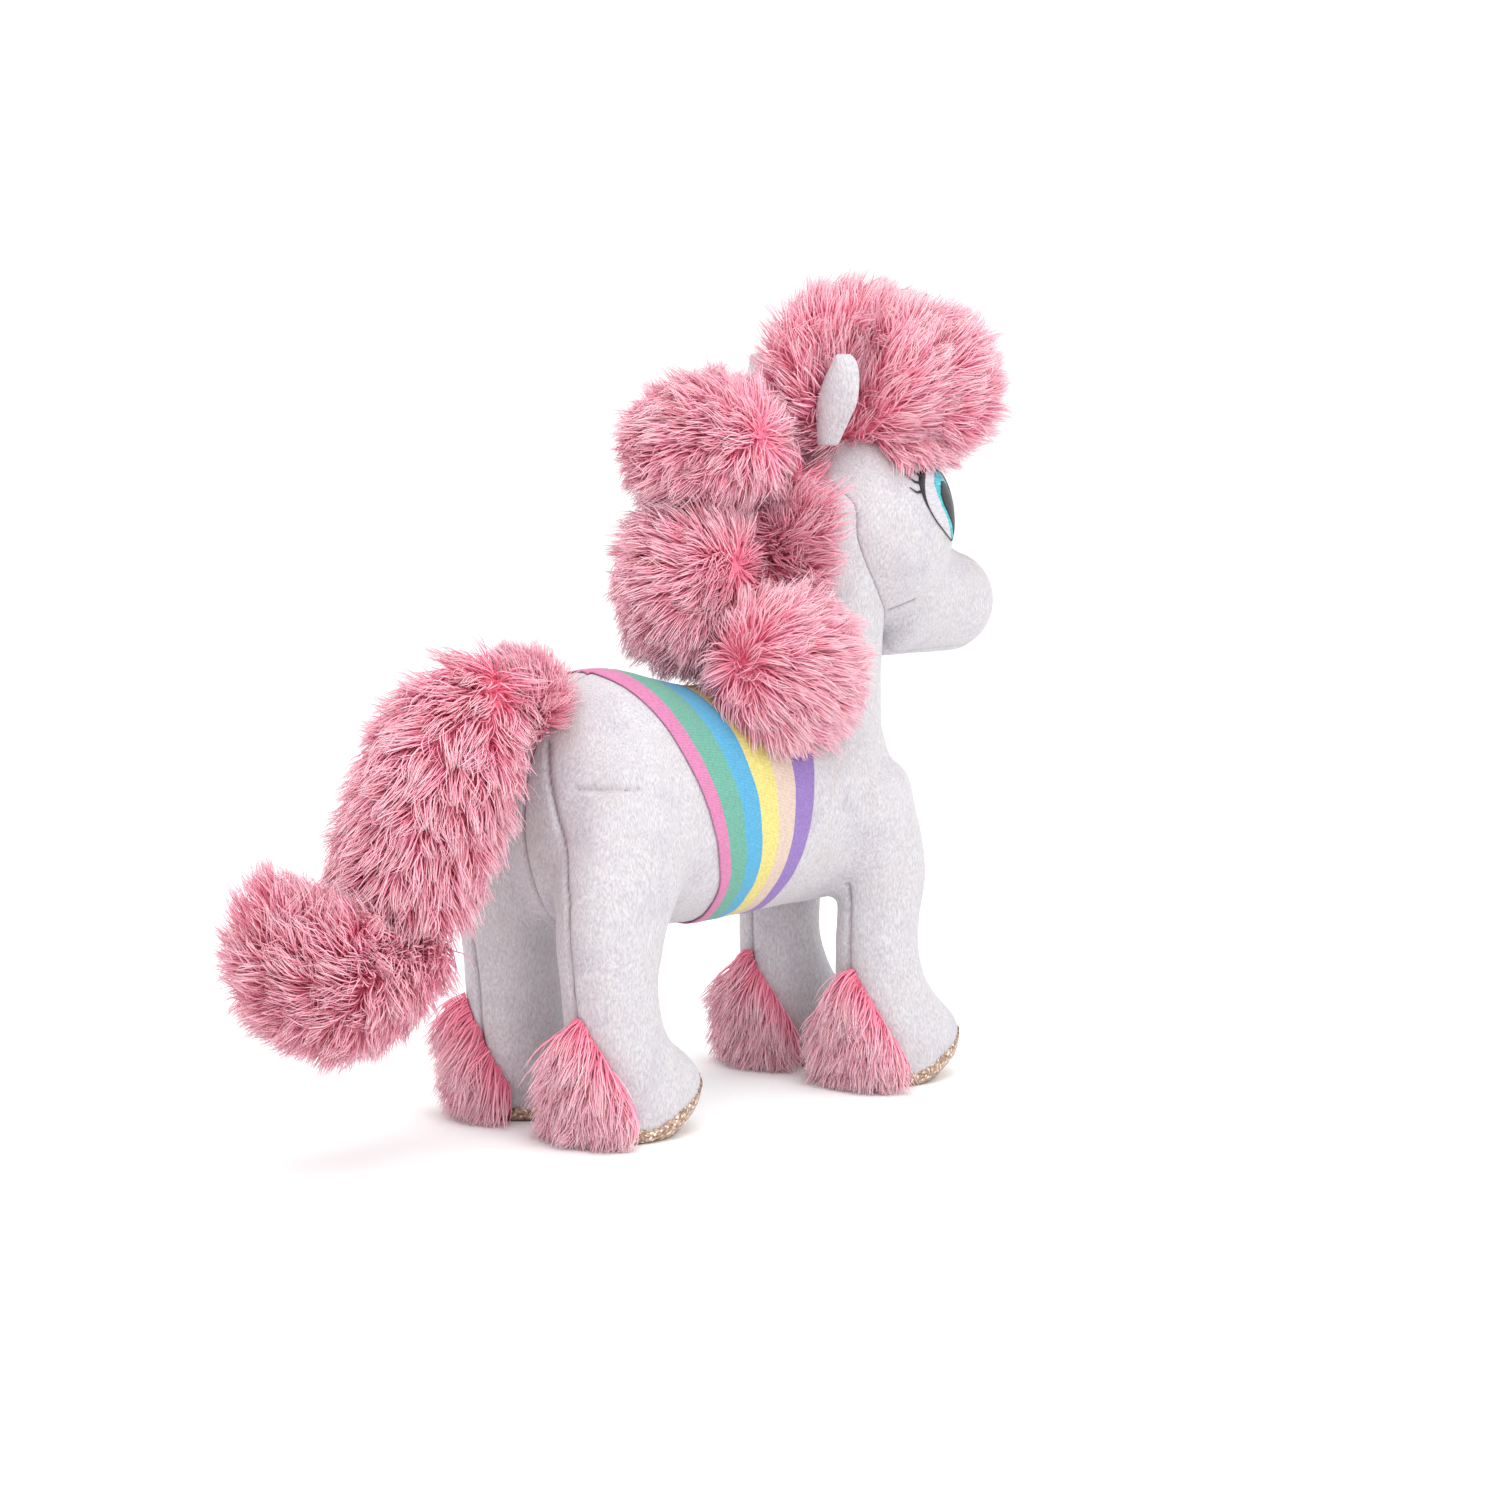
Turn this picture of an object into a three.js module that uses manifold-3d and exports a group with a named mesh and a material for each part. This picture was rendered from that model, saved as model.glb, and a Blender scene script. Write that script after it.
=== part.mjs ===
// A standing stuffed unicorn: short-pile skin panels over polyester filling, with long-pile
// mane, tail and fetlock tufts, glitter-cloth hooves and horn, and a striped belly band.
// Units are millimetres, +Z is up, the nose points along -Y and the animal's right is -X.

import * as THREE from 'three';
import { mergeVertices } from 'three/addons/utils/BufferGeometryUtils.js';
import Module from 'manifold-3d';

const wasm = await Module();
wasm.setup();

// Driving dimensions. Heights are above the floor, and Y = 0 is midway between the feet.
const GAP = 0.4;                 // clearance between neighbouring pieces
const SKIN = 2;                  // skin panel: cloth backing and short pile together
const BACK_HEIGHT = 152;         // back at the belly band
const BELLY_HEIGHT = 67;
const BODY_HALF_WIDTH = 39;
const RUMP_Y = 50;
const CHEST_Y = -50;
const LEG_X = 26;                // legs left and right of the middle plane
const HIND_LEG_Y = 66;
const FORE_LEG_Y = -68;
const FOOT_FORWARD = 14;         // the foot's middle is this far in front of the leg
const FOOT_HALF_LENGTH = 26;
const HOOF_BAND = 8;             // glitter cloth round the foot, above the sole
const TOE_CAP = { run: 14, height: 12, slope: 0.75 };   // where its edge crosses the toe
const SOLE_THICK = 1.6;
const SKULL = { y: -85, z: 207, rx: 35, ry: 36, rz: 39 };
const EAR = { x: 18, y: -56, z: 233, back: 30, forward: 20 };   // base, and fold in degrees
const SIDES = [['right', -1], ['left', 1]];

// ---------------------------------------------------------------- shape helpers

function solid(geometry) {
  geometry.deleteAttribute('normal');
  geometry.deleteAttribute('uv');
  const merged = mergeVertices(geometry, 1e-4);
  const corners = merged.index.array;
  const triangles = [];
  for (let i = 0; i < corners.length; i += 3) {
    const [a, b, c] = [corners[i], corners[i + 1], corners[i + 2]];
    if (a !== b && b !== c && c !== a) triangles.push(a, b, c);
  }
  return new wasm.Manifold(new wasm.Mesh({
    numProp: 3,
    vertProperties: new Float32Array(merged.attributes.position.array),
    triVerts: new Uint32Array(triangles),
  }));
}

function join(...bodies) {
  return bodies.reduce((sum, body) => sum.add(body));
}

function without(body, ...others) {
  return others.reduce((rest, other) => rest.subtract(other), body);
}

// A big box whose one face passes through the point, on the side that the normal points to.
function halfSpace(point, normal) {
  const size = 700;
  const box = new THREE.BoxGeometry(size, size, size).translate(0, 0, size / 2);
  const turn = new THREE.Quaternion();
  turn.setFromUnitVectors(new THREE.Vector3(0, 0, 1), new THREE.Vector3(...normal).normalize());
  box.applyQuaternion(turn).translate(...point);
  return solid(box);
}

function slab(axis, low, high) {
  const size = 700;
  const box = new THREE.BoxGeometry(size, size, high - low).translate(0, 0, (low + high) / 2);
  if (axis === 'x') box.rotateY(Math.PI / 2);
  if (axis === 'y') box.rotateX(-Math.PI / 2);
  return solid(box);
}

function ellipsoid(centre, radii, { around = 18, along = 12, grow = 0 } = {}) {
  const ball = new THREE.SphereGeometry(1, around, along);
  ball.rotateX(Math.PI / 2);
  ball.scale(radii[0] + grow, radii[1] + grow, radii[2] + grow).translate(...centre);
  return solid(ball);
}

// A stuffed tube through stations [x, y, z, half width, half depth] with rounded ends.
// The width lies along `side` and the depth across it; `ends` is how far each end bulges out.
function limb(stations, { around = 14, along = 8, caps = 3, ends = [10, 10], side = [1, 0, 0], grow = 0 } = {}) {
  const centres = new THREE.CatmullRomCurve3(stations.map(([x, y, z]) => new THREE.Vector3(x, y, z)));
  const sizes = new THREE.SplineCurve(stations.map((s) => new THREE.Vector2(s[3] + grow, s[4] + grow)));
  const capsule = new THREE.CapsuleGeometry(1, 2, caps, around, along);
  const place = capsule.attributes.position;
  for (let i = 0; i < place.count; i += 1) {
    const reach = place.getY(i);
    const t = THREE.MathUtils.clamp((reach + 1) / 2, 0, 1);
    const size = sizes.getPoint(t);
    const along3 = centres.getTangent(THREE.MathUtils.clamp(t, 0.001, 0.999));
    const width3 = new THREE.Vector3(...side).addScaledVector(along3, -along3.dot(new THREE.Vector3(...side)));
    width3.normalize();
    const depth3 = new THREE.Vector3().crossVectors(width3, along3);
    const past = Math.max(0, Math.abs(reach) - 1);
    const bulge = (reach < 0 ? -(ends[0] + grow) : ends[1] + grow) * past;
    const point = centres.getPoint(t)
      .addScaledVector(width3, place.getX(i) * size.x)
      .addScaledVector(depth3, place.getZ(i) * size.y)
      .addScaledVector(along3, bulge);
    place.setXYZ(i, point.x, point.y, point.z);
  }
  return solid(capsule);
}

// ---------------------------------------------------------------- materials

function finish(color, roughness, metalness = 0) {
  return new THREE.MeshStandardMaterial({ color, roughness, metalness });
}

const WHITE_PLUSH = finish(0xe9e5ea, 0.95);
const FILLING = finish(0xf6f5f1, 1);
const PINK_FUR = finish(0xe8a0b4, 0.9);
const GLITTER = finish(0xc4a183, 0.4, 0.6);
const BAND_CLOTH = finish(0x6fb09a, 0.8);
const EYE_WHITE = finish(0xf4f2f4, 0.7);
const EYE_TEAL = finish(0x4bb3bf, 0.6);
const EYE_BLACK = finish(0x1b1a1d, 0.6);
const BACKING = finish(0xdba4b3, 0.95);

const unicorn = new THREE.Group();

function add(name, material, body) {
  const { vertProperties, triVerts } = body.getMesh();
  const geometry = new THREE.BufferGeometry();
  geometry.setAttribute('position', new THREE.BufferAttribute(vertProperties, 3));
  geometry.setIndex(new THREE.BufferAttribute(triVerts, 1));
  geometry.computeVertexNormals();
  const mesh = new THREE.Mesh(geometry, material);
  mesh.name = name;
  unicorn.add(mesh);
}

// ---------------------------------------------------------------- torso, neck and legs

const bodyMiddle = (BACK_HEIGHT + BELLY_HEIGHT) / 2;
const bodyHalfHeight = (BACK_HEIGHT - BELLY_HEIGHT) / 2;

function torso(options) {
  return limb([
    [0, RUMP_Y, bodyMiddle + 5, BODY_HALF_WIDTH + 3, bodyHalfHeight + 5],
    [0, 0, bodyMiddle, BODY_HALF_WIDTH, bodyHalfHeight],
    [0, CHEST_Y, bodyMiddle + 4, BODY_HALF_WIDTH - 2, bodyHalfHeight + 4],
  ], { ends: [33, 36], ...options });
}

function neck(options) {
  return limb([
    [0, -49, 132, 33, 35],
    [0, -60, 172, 26, 28],
    [0, -68, 212, 25, 27],
  ], { ends: [8, 10], along: 5, caps: 2, ...options });
}

// The leg widens into the foot, whose toe points forward and whose bottom is cut flat.
function leg(turn, legY, options) {
  const hind = legY > 0;
  const x = turn * LEG_X;
  const thigh = hind ? [turn * 23, legY - 14, 108, 21, 27] : [turn * 21, legY + 6, 108, 20, 22];
  return limb([
    thigh,
    [x, legY - 2, 82, hind ? 19 : 16.5, hind ? 22 : 18],
    [x, legY, 54, hind ? 17.5 : 15.5, hind ? 17.5 : 16],
    [x, legY - 4, 30, 17.5, 19],
    [x, legY - FOOT_FORWARD, 9, 19, 27],
  ], { ends: [8, 10], along: 9, ...options });
}

const legs = [];
for (const [sideName, turn] of SIDES) {
  for (const [endName, legY] of [['hind', HIND_LEG_Y], ['fore', FORE_LEG_Y]]) {
    legs.push({ name: `${endName}_${sideName}`, turn, y: legY });
  }
}

const FINE_TORSO = { around: 16, along: 5, caps: 3 };
const COARSE_TORSO = { around: 10, along: 3, caps: 2 };
const FINE_LEG = { around: 10, along: 5, caps: 2 };
const COARSE_LEG = { around: 6, along: 4, caps: 1 };

const aboveFloor = halfSpace([0, 0, 0], [0, 0, 1]);
const aboveSole = halfSpace([0, 0, SOLE_THICK + GAP], [0, 0, 1]);
const fillingFloor = halfSpace([0, 0, SOLE_THICK + 2 * GAP], [0, 0, 1]);

// ---------------------------------------------------------------- head

const MUZZLE = [
  [0, -100, 184, 26, 28],
  [0, -122, 178, 21, 22],
  [0, -133, 176, 19, 19.5],
];

function skull(options) {
  return ellipsoid([0, SKULL.y, SKULL.z], [SKULL.rx, SKULL.ry, SKULL.rz], options);
}

function head(grow = 0, fine = true) {
  const round = fine ? 14 : 10;
  const face = limb(MUZZLE, { ends: [10, 16], around: round - 2, along: 3, caps: 2, grow });
  return join(skull({ around: round, along: round * 0.6, grow }), face);
}

const HEAD_STRIP = 9;            // half width of the strip over nose and forehead
const headSkin = without(head(), head(-SKIN, false));
add('head_panel_right', WHITE_PLUSH, headSkin.intersect(halfSpace([-HEAD_STRIP - GAP / 2, 0, 0], [-1, 0, 0])));
add('head_panel_left', WHITE_PLUSH, headSkin.intersect(halfSpace([HEAD_STRIP + GAP / 2, 0, 0], [1, 0, 0])));
add('face_gusset', WHITE_PLUSH, headSkin.intersect(slab('x', -HEAD_STRIP + GAP / 2, HEAD_STRIP - GAP / 2)));
add('head_filling', FILLING, head(-SKIN - GAP, false));

// ---------------------------------------------------------------- skin panels of the body

const fineLegs = legs.map((l) => leg(l.turn, l.y, FINE_LEG).intersect(aboveFloor));
const innerLegs = legs.map((l) => leg(l.turn, l.y, { ...COARSE_LEG, grow: -SKIN }));
const headRoom = head(GAP);

// The glitter cloth covers the foot's lower edge and rises over the toe.
function hoofRegion(l, extra = 0) {
  const toeY = l.y - FOOT_FORWARD - FOOT_HALF_LENGTH;
  const band = slab('z', -HOOF_BAND, HOOF_BAND + extra);
  const toe = halfSpace([0, toeY + TOE_CAP.run, TOE_CAP.height + extra], [0, -TOE_CAP.slope, -1]);
  const reach = slab('y', toeY - TOE_CAP.run, toeY + 3 * TOE_CAP.run);
  return join(band, toe.intersect(reach).intersect(slab('z', -HOOF_BAND, 3 * TOE_CAP.height)));
}

const skinShell = without(
  join(torso(FINE_TORSO), neck(), ...fineLegs),
  join(torso({ ...COARSE_TORSO, grow: -SKIN }), neck({ around: 10, grow: -SKIN }), ...innerLegs),
  headRoom,
);

let panels = skinShell;
for (const l of legs) {
  const around = slab('x', Math.min(0, l.turn * 90), Math.max(0, l.turn * 90));
  const box = around.intersect(slab('y', l.y - 60, l.y + 45));
  panels = panels.subtract(hoofRegion(l, GAP).intersect(box));
}

// The belly panels reach the inner faces of the legs and narrow towards tail and throat.
function bellyPrism(margin) {
  const outline = new THREE.Shape();
  outline.moveTo(-LEG_X - margin, -5);
  outline.lineTo(LEG_X + margin, -5);
  outline.lineTo(LEG_X + margin, 86);
  outline.lineTo(5 + margin, 142 + margin);
  outline.lineTo(-5 - margin, 142 + margin);
  outline.lineTo(-LEG_X - margin, 86);
  outline.closePath();
  const prism = new THREE.ExtrudeGeometry(outline, { depth: 300, bevelEnabled: false, steps: 1 });
  prism.translate(0, 0, -150).rotateX(Math.PI / 2);
  return solid(prism);
}

const leftSide = halfSpace([GAP / 2, 0, 0], [1, 0, 0]);
const rightSide = halfSpace([-GAP / 2, 0, 0], [-1, 0, 0]);
const flanks = panels.subtract(bellyPrism(GAP / 2));
const belly = panels.intersect(bellyPrism(-GAP / 2));
add('body_panel_right', WHITE_PLUSH, flanks.intersect(rightSide));
add('body_panel_left', WHITE_PLUSH, flanks.intersect(leftSide));
add('belly_panel_right', WHITE_PLUSH, belly.intersect(rightSide));
add('belly_panel_left', WHITE_PLUSH, belly.intersect(leftSide));

const innerGrow = -SKIN - GAP;
const torsoFilling = torso({ ...COARSE_TORSO, grow: innerGrow });
const torsoRoom = torso({ ...COARSE_TORSO, grow: innerGrow + GAP });
add('torso_filling', FILLING, torsoFilling);
add('neck_filling', FILLING, without(neck({ around: 10, grow: innerGrow }), torsoRoom, headRoom));

// ---------------------------------------------------------------- feet

const TUFT_OUTWARD = 0.3;        // tufts point backwards and this much outwards

for (const [i, l] of legs.entries()) {
  const inner = leg(l.turn, l.y, { ...COARSE_LEG, grow: -SKIN });
  const foot = fineLegs[i].intersect(hoofRegion(l));
  add(`leg_filling_${l.name}`, FILLING, without(
    leg(l.turn, l.y, { ...COARSE_LEG, grow: innerGrow }).intersect(fillingFloor), torsoRoom));
  add(`hoof_cap_${l.name}`, GLITTER, without(foot.intersect(aboveSole), inner));
  add(`sole_${l.name}`, GLITTER, foot.intersect(slab('z', 0, SOLE_THICK)));

  // A fan of long pile sewn to the back of the leg, hanging almost to the floor.
  const back = new THREE.Vector3(l.turn * TUFT_OUTWARD, Math.sqrt(1 - TUFT_OUTWARD ** 2), 0);
  const at = (out, z) => [l.turn * LEG_X + back.x * out, l.y + back.y * out, z];
  const fan = limb([
    [...at(18, 44), 4, 4],
    [...at(23, 28), 12, 9],
    [...at(25, 13), 18, 14],
  ], { ends: [4, 12], around: 8, along: 4, caps: 2, side: [back.y, -back.x, 0] });
  const legRoom = leg(l.turn, l.y, { ...FINE_LEG, grow: GAP });
  add(`fetlock_tuft_${l.name}`, PINK_FUR, without(fan.intersect(halfSpace([0, 0, 1.2], [0, 0, 1])), legRoom));
}

// ---------------------------------------------------------------- belly band

const BAND_THICK = 1.2;
const bandRear = halfSpace([0, 30, bodyMiddle], [0, -1, 0.44]);
const bandFront = halfSpace([0, -22, bodyMiddle], [0, 1, 0.15]);
const bandOuter = torso({ ...FINE_TORSO, grow: GAP + BAND_THICK });
const neckRoom = neck({ grow: GAP });
const legRooms = legs.map((l) => leg(l.turn, l.y, { ...FINE_LEG, grow: GAP }));
const band = without(bandOuter.intersect(bandRear).intersect(bandFront),
  torso({ ...FINE_TORSO, grow: GAP }), neckRoom, ...legRooms);
add('belly_band', BAND_CLOTH, band);

// ---------------------------------------------------------------- ears

function ear(turn) {
  return limb([
    [turn * EAR.x, EAR.y, EAR.z + 2, 8, 3.2],
    [turn * (EAR.x + 4), EAR.y + 1, EAR.z + 20, 10, 3.2],
    [turn * (EAR.x + 7), EAR.y + 2, EAR.z + 34, 5, 2.6],
  ], { ends: [3, 5], around: 8, along: 4, caps: 2 });
}

const earHeadRoom = head(5 * GAP);
for (const [sideName, turn] of SIDES) {
  const leaf = ear(turn).subtract(earHeadRoom);
  const middle = [turn * EAR.x, EAR.y + 1, EAR.z + 20];
  const seam = (sign) => middle.map((v, k) => (k === 1 ? v + sign * GAP / 2 : v));
  add(`ear_lining_${sideName}`, WHITE_PLUSH, leaf.intersect(halfSpace(seam(-1), [0, -1, 0.055])));
  add(`ear_back_${sideName}`, WHITE_PLUSH, leaf.intersect(halfSpace(seam(1), [0, 1, -0.055])));
}

// The space that both ears sweep as they fold, left free in the pile beside them.
function earSweep() {
  const reach = 48;
  const fan = new THREE.Shape();
  const low = EAR.z - 6;
  fan.moveTo(EAR.y - 6, low);
  fan.lineTo(EAR.y + 6, low);
  fan.lineTo(EAR.y + 6 + reach * Math.tan(THREE.MathUtils.degToRad(EAR.back)), low + reach + 20);
  fan.lineTo(EAR.y - 6 - reach * Math.tan(THREE.MathUtils.degToRad(EAR.forward)), low + reach + 20);
  fan.closePath();
  const inner = EAR.x - 9.5;
  const sides = SIDES.map(([, turn]) => {
    const prism = new THREE.ExtrudeGeometry(fan, { depth: 60, bevelEnabled: false, steps: 1 });
    prism.rotateX(Math.PI / 2).rotateZ(Math.PI / 2);
    prism.translate(turn > 0 ? inner : -inner - 60, 0, 0);
    return solid(prism);
  });
  return join(...sides);
}

// ---------------------------------------------------------------- embroidered eyes

const EYE_TURN = THREE.MathUtils.degToRad(56);   // from the nose direction towards the side
const EYE_HALF = { wide: 12, tall: 13.5 };
const EYE_THICK = 1.2;           // the embroidery stands this far off the face
const eyeLayer = without(head(EYE_THICK), headRoom);

function eyeCutter(turn, shapes) {
  const geometry = new THREE.ExtrudeGeometry(shapes, { depth: 40, bevelEnabled: false, curveSegments: 4 });
  geometry.rotateX(Math.PI / 2).rotateZ(turn * EYE_TURN);
  geometry.translate(0, SKULL.y, SKULL.z + 3);
  return solid(geometry);
}

function oval(wide, tall) {
  const shape = new THREE.Shape();
  shape.absellipse(0, 0, wide, tall, 0, Math.PI * 2);
  return shape;
}

function lashes(turn) {
  const bars = [];
  for (const tilt of [0.15, 0.45, 0.75]) {
    const bar = new THREE.BoxGeometry(7, 0.9, 40);
    bar.translate(EYE_HALF.wide + 3, 0, 20).rotateZ(tilt);
    bar.scale(turn, 1, 1);
    if (turn < 0) bar.setIndex([...bar.index.array].reverse());
    bar.rotateX(Math.PI / 2).rotateZ(turn * EYE_TURN).translate(0, SKULL.y, SKULL.z + 3);
    bars.push(solid(bar));
  }
  return join(...bars);
}

for (const [sideName, turn] of SIDES) {
  const { wide, tall } = EYE_HALF;
  const cut = (w, t) => eyeCutter(turn, oval(w, t));
  const rim = eyeLayer.intersect(join(cut(wide + 1.4, tall + 1.4), lashes(turn)));
  add(`eye_lash_line_${sideName}`, EYE_BLACK, rim.subtract(cut(wide, tall)));
  add(`eye_white_${sideName}`, EYE_WHITE, eyeLayer.intersect(cut(wide - GAP, tall - GAP)).subtract(cut(7, 11)));
  add(`eye_iris_${sideName}`, EYE_TEAL, eyeLayer.intersect(cut(7 - GAP, 11 - GAP)).subtract(cut(4, 8.5)));
  add(`eye_pupil_${sideName}`, EYE_BLACK, eyeLayer.intersect(cut(4 - GAP, 8.5 - GAP)));
}

// ---------------------------------------------------------------- horn

const HORN = { y: -110, z: 226, height: 52, radius: 8.5, lean: 0.2 };

function cone(grow, low = 0) {
  const profile = [
    new THREE.Vector2(0, low),
    new THREE.Vector2(HORN.radius + grow, low),
    new THREE.Vector2(1.2, HORN.height + grow * 2),
    new THREE.Vector2(0, HORN.height + grow * 2),
  ];
  const turned = new THREE.LatheGeometry(profile, 10);
  turned.rotateX(Math.PI / 2 + HORN.lean).translate(0, HORN.y, HORN.z);
  return solid(turned);
}

add('horn_skin', GLITTER, without(cone(0), cone(-1.6, -2), headRoom));
add('horn_filling', FILLING, cone(-1.6 - GAP).subtract(headRoom));

// ---------------------------------------------------------------- forelock and mane

const hornRoom = cone(GAP * 2, -4);
const FORELOCK_SPLIT = -104;     // the crown's pile ends here and the fringe begins
const CROWN = [[0, -78, 263], [32, 42, 31]];
const crown = ellipsoid(...CROWN, { around: 12, along: 8 });
const crownFloor = halfSpace([0, 0, 236], [0, 0, 1]);
add('forelock_crown', PINK_FUR, without(crown, headRoom, earSweep(), hornRoom)
  .intersect(halfSpace([0, FORELOCK_SPLIT + GAP / 2, 0], [0, 1, 0]))
  .intersect(crownFloor));
const fringe = ellipsoid([0, -116, 252], [29, 27, 26], { around: 12, along: 8 });
add('forelock_fringe', PINK_FUR, without(fringe, head(EYE_THICK + GAP), hornRoom)
  .intersect(halfSpace([0, FORELOCK_SPLIT - GAP / 2, 0], [0, -1, 0])));

// The locks are sewn to a strip along the back of the neck and hang behind it.
const CREST = { topY: -47, topZ: 226, lowY: -18, lowZ: 156 };
const strip = limb([
  [0, CREST.topY, CREST.topZ, 4, 2.2],
  [0, -34, 190, 4, 2.2],
  [0, CREST.lowY, CREST.lowZ, 4, 2.2],
], { ends: [1, 1], around: 8, along: 5, caps: 1 });
const bodyRoom = join(torso({ ...FINE_TORSO, grow: GAP }), neckRoom);
const bandRoom = torso({ ...FINE_TORSO, grow: 2 * GAP + BAND_THICK });
add('mane_crest_strip', BACKING, without(strip, bodyRoom, headRoom, bandRoom));

// A lock starts behind the strip on a blunt wedge, which leaves room to swing about CREST_AXIS.
// Locks above each other meet on planes square to that axis, so they pass as they swing.
const CREST_AXIS = [0, 0.38, -0.92];

function behindCrest(y, z) {
  const right = halfSpace([0, y, z], [-0.6, 1, 0.41]);
  const left = halfSpace([0, y, z], [0.6, 1, 0.41]);
  return right.intersect(left);
}

const LOCK_SPLIT = 217;          // height of the plane between the locks, at Y = 0
const aboveSplit = halfSpace([0, 0, LOCK_SPLIT + GAP], CREST_AXIS.map((v) => -v));
const belowSplit = halfSpace([0, 0, LOCK_SPLIT - GAP], CREST_AXIS);
const upperRoom = join(headRoom, ellipsoid(...CROWN, { around: 12, along: 8, grow: 4 }));
const upperLock = ellipsoid([0, -6, 240], [22, 36, 21], { around: 12, along: 8 });
add('mane_lock_upper', PINK_FUR,
  without(upperLock.intersect(behindCrest(-38, 222)).intersect(aboveSplit), upperRoom, neckRoom));

// The lower lock turns up by 45 degrees about the line through LIFT_AXIS along Y.
const LIFT_AXIS = [-14, 0, 180];
const middleLock = ellipsoid([0, 3, 191], [23, 27, 30], { around: 12, along: 8 });
const liftRoom = halfSpace(LIFT_AXIS, [-0.94, 0, -0.34]);   // where the lower lock's top ends up
add('mane_lock_middle', PINK_FUR, without(
  middleLock.intersect(behindCrest(-22, 178)).intersect(belowSplit), bodyRoom, bandRoom, liftRoom));

const lowerLock = ellipsoid([-27, -17, 158], [20, 31, 29], { around: 12, along: 8 });
const lowerSide = halfSpace([LIFT_AXIS[0] - GAP, 0, LIFT_AXIS[2] - 2 * GAP], [-0.42, 0, -0.91]);
const lowerLeft = halfSpace([LIFT_AXIS[0] - 2, 0, 0], [-1, 0, 0]);
add('mane_lock_lower', PINK_FUR, without(
  lowerLock.intersect(lowerSide).intersect(lowerLeft), bodyRoom, bandRoom));

// ---------------------------------------------------------------- tail

// The dock is a ball about the point that the tail turns on, so the tail's cup rides round it.
const DOCK = { centre: [0, 80, 151], radius: 10 };
const dock = ellipsoid(DOCK.centre, [DOCK.radius, DOCK.radius, DOCK.radius], { around: 12, along: 8 });
add('tail_dock', PINK_FUR, dock.subtract(torso({ ...FINE_TORSO, grow: 5 * GAP })));

const TAIL = [
  [0, 99, 150, 21, 18],
  [0, 110, 136, 27, 26],
  [0, 120, 117, 28, 27],
  [0, 129, 98, 27, 26],
];
const tailOptions = { ends: [10, 26], around: 12, along: 5, caps: 3 };
const PILE = 9;                  // the pile's depth over the tail's filling
const tailCore = (grow) => limb(TAIL, { ...tailOptions, around: 8, ends: [16, 26], grow });
const dockRoom = ellipsoid(DOCK.centre, [11.5, 11.5, 11.5], { around: 12, along: 8 });
add('tail_upper', PINK_FUR, without(limb(TAIL, tailOptions), tailCore(-PILE), dockRoom));
add('tail_upper_filling', FILLING, tailCore(-PILE - GAP).subtract(dockRoom));

// The tip's cup fits round the ball-shaped end of the upper tail.
const TIP = [
  [0, 147, 71, 20, 19],
  [0, 167, 66, 27, 26],
  [0, 184, 75, 26, 24],
  [0, 193, 90, 14, 12],
];
const tipOptions = { ends: [8, 6], around: 12, along: 5, caps: 2 };
const tipCore = (grow) => limb(TIP, { ...tipOptions, around: 8, ends: [26, 12], grow });
const tipRoom = limb(TAIL, { ...tailOptions, grow: 1.5 });
add('tail_tip', PINK_FUR, without(limb(TIP, tipOptions), tipCore(-PILE), tipRoom));
add('tail_tip_filling', FILLING, tipCore(-PILE - GAP).subtract(tipRoom));

// The origin is the middle of the footprint, on the floor.
const bounds = new THREE.Box3().setFromObject(unicorn);
unicorn.position.set(
  -(bounds.min.x + bounds.max.x) / 2,
  -(bounds.min.y + bounds.max.y) / 2,
  -bounds.min.z,
);

export default unicorn;
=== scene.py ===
# A standing stuffed unicorn in white minky plush, with long pink fur at the forelock, mane, tail and
# fetlocks, glitter-cloth hooves and horn, embroidered eyes and a striped belly band.
# Metres, +Z up, the nose points along -Y and the animal's right side is -X.
import math

import bmesh
import bpy
import numpy as np
from mathutils import Matrix, Vector, noise
from mathutils.bvhtree import BVHTree


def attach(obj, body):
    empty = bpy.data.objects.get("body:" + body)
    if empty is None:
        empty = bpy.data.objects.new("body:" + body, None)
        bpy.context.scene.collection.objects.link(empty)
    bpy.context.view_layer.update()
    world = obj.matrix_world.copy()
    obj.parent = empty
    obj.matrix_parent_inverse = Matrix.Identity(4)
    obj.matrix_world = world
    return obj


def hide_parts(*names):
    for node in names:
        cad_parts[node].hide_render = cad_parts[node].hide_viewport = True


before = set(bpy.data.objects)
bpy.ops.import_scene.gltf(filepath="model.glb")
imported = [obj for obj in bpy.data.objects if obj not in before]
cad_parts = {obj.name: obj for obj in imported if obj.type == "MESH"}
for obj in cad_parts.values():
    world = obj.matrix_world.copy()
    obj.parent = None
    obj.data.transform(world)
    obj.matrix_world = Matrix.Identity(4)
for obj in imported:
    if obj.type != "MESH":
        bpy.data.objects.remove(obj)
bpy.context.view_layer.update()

# ---------------------------------------------------------------- stuffed body
# Torso, neck and legs are one sewn bag of short-pile polyester plush, stuffed tight with fibre.
# The bag is cut as two flanks and two belly panels, and the seams pull in between the crowned panels.
MM = 0.001
FEET_MIDDLE = -28.13               # where the middle between the feet lies along Y, in millimetres
LEG_X = 26                         # legs left and right of the middle plane
HIND_LEG_Y = 66
FORE_LEG_Y = -68
FOOT_FORWARD = 14
SOLE_LEVEL = 1.3                   # top of the sole cloth above the floor
SIDES = [("right", -1), ("left", 1)]

TORSO = [(0, 50, 114.5, 42, 47.5), (0, 0, 109.5, 39, 42.5), (0, -50, 113.5, 37, 46.5)]
NECK = [(0, -49, 132, 33, 35), (0, -60, 172, 26, 28), (0, -68, 212, 25, 27)]


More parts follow.
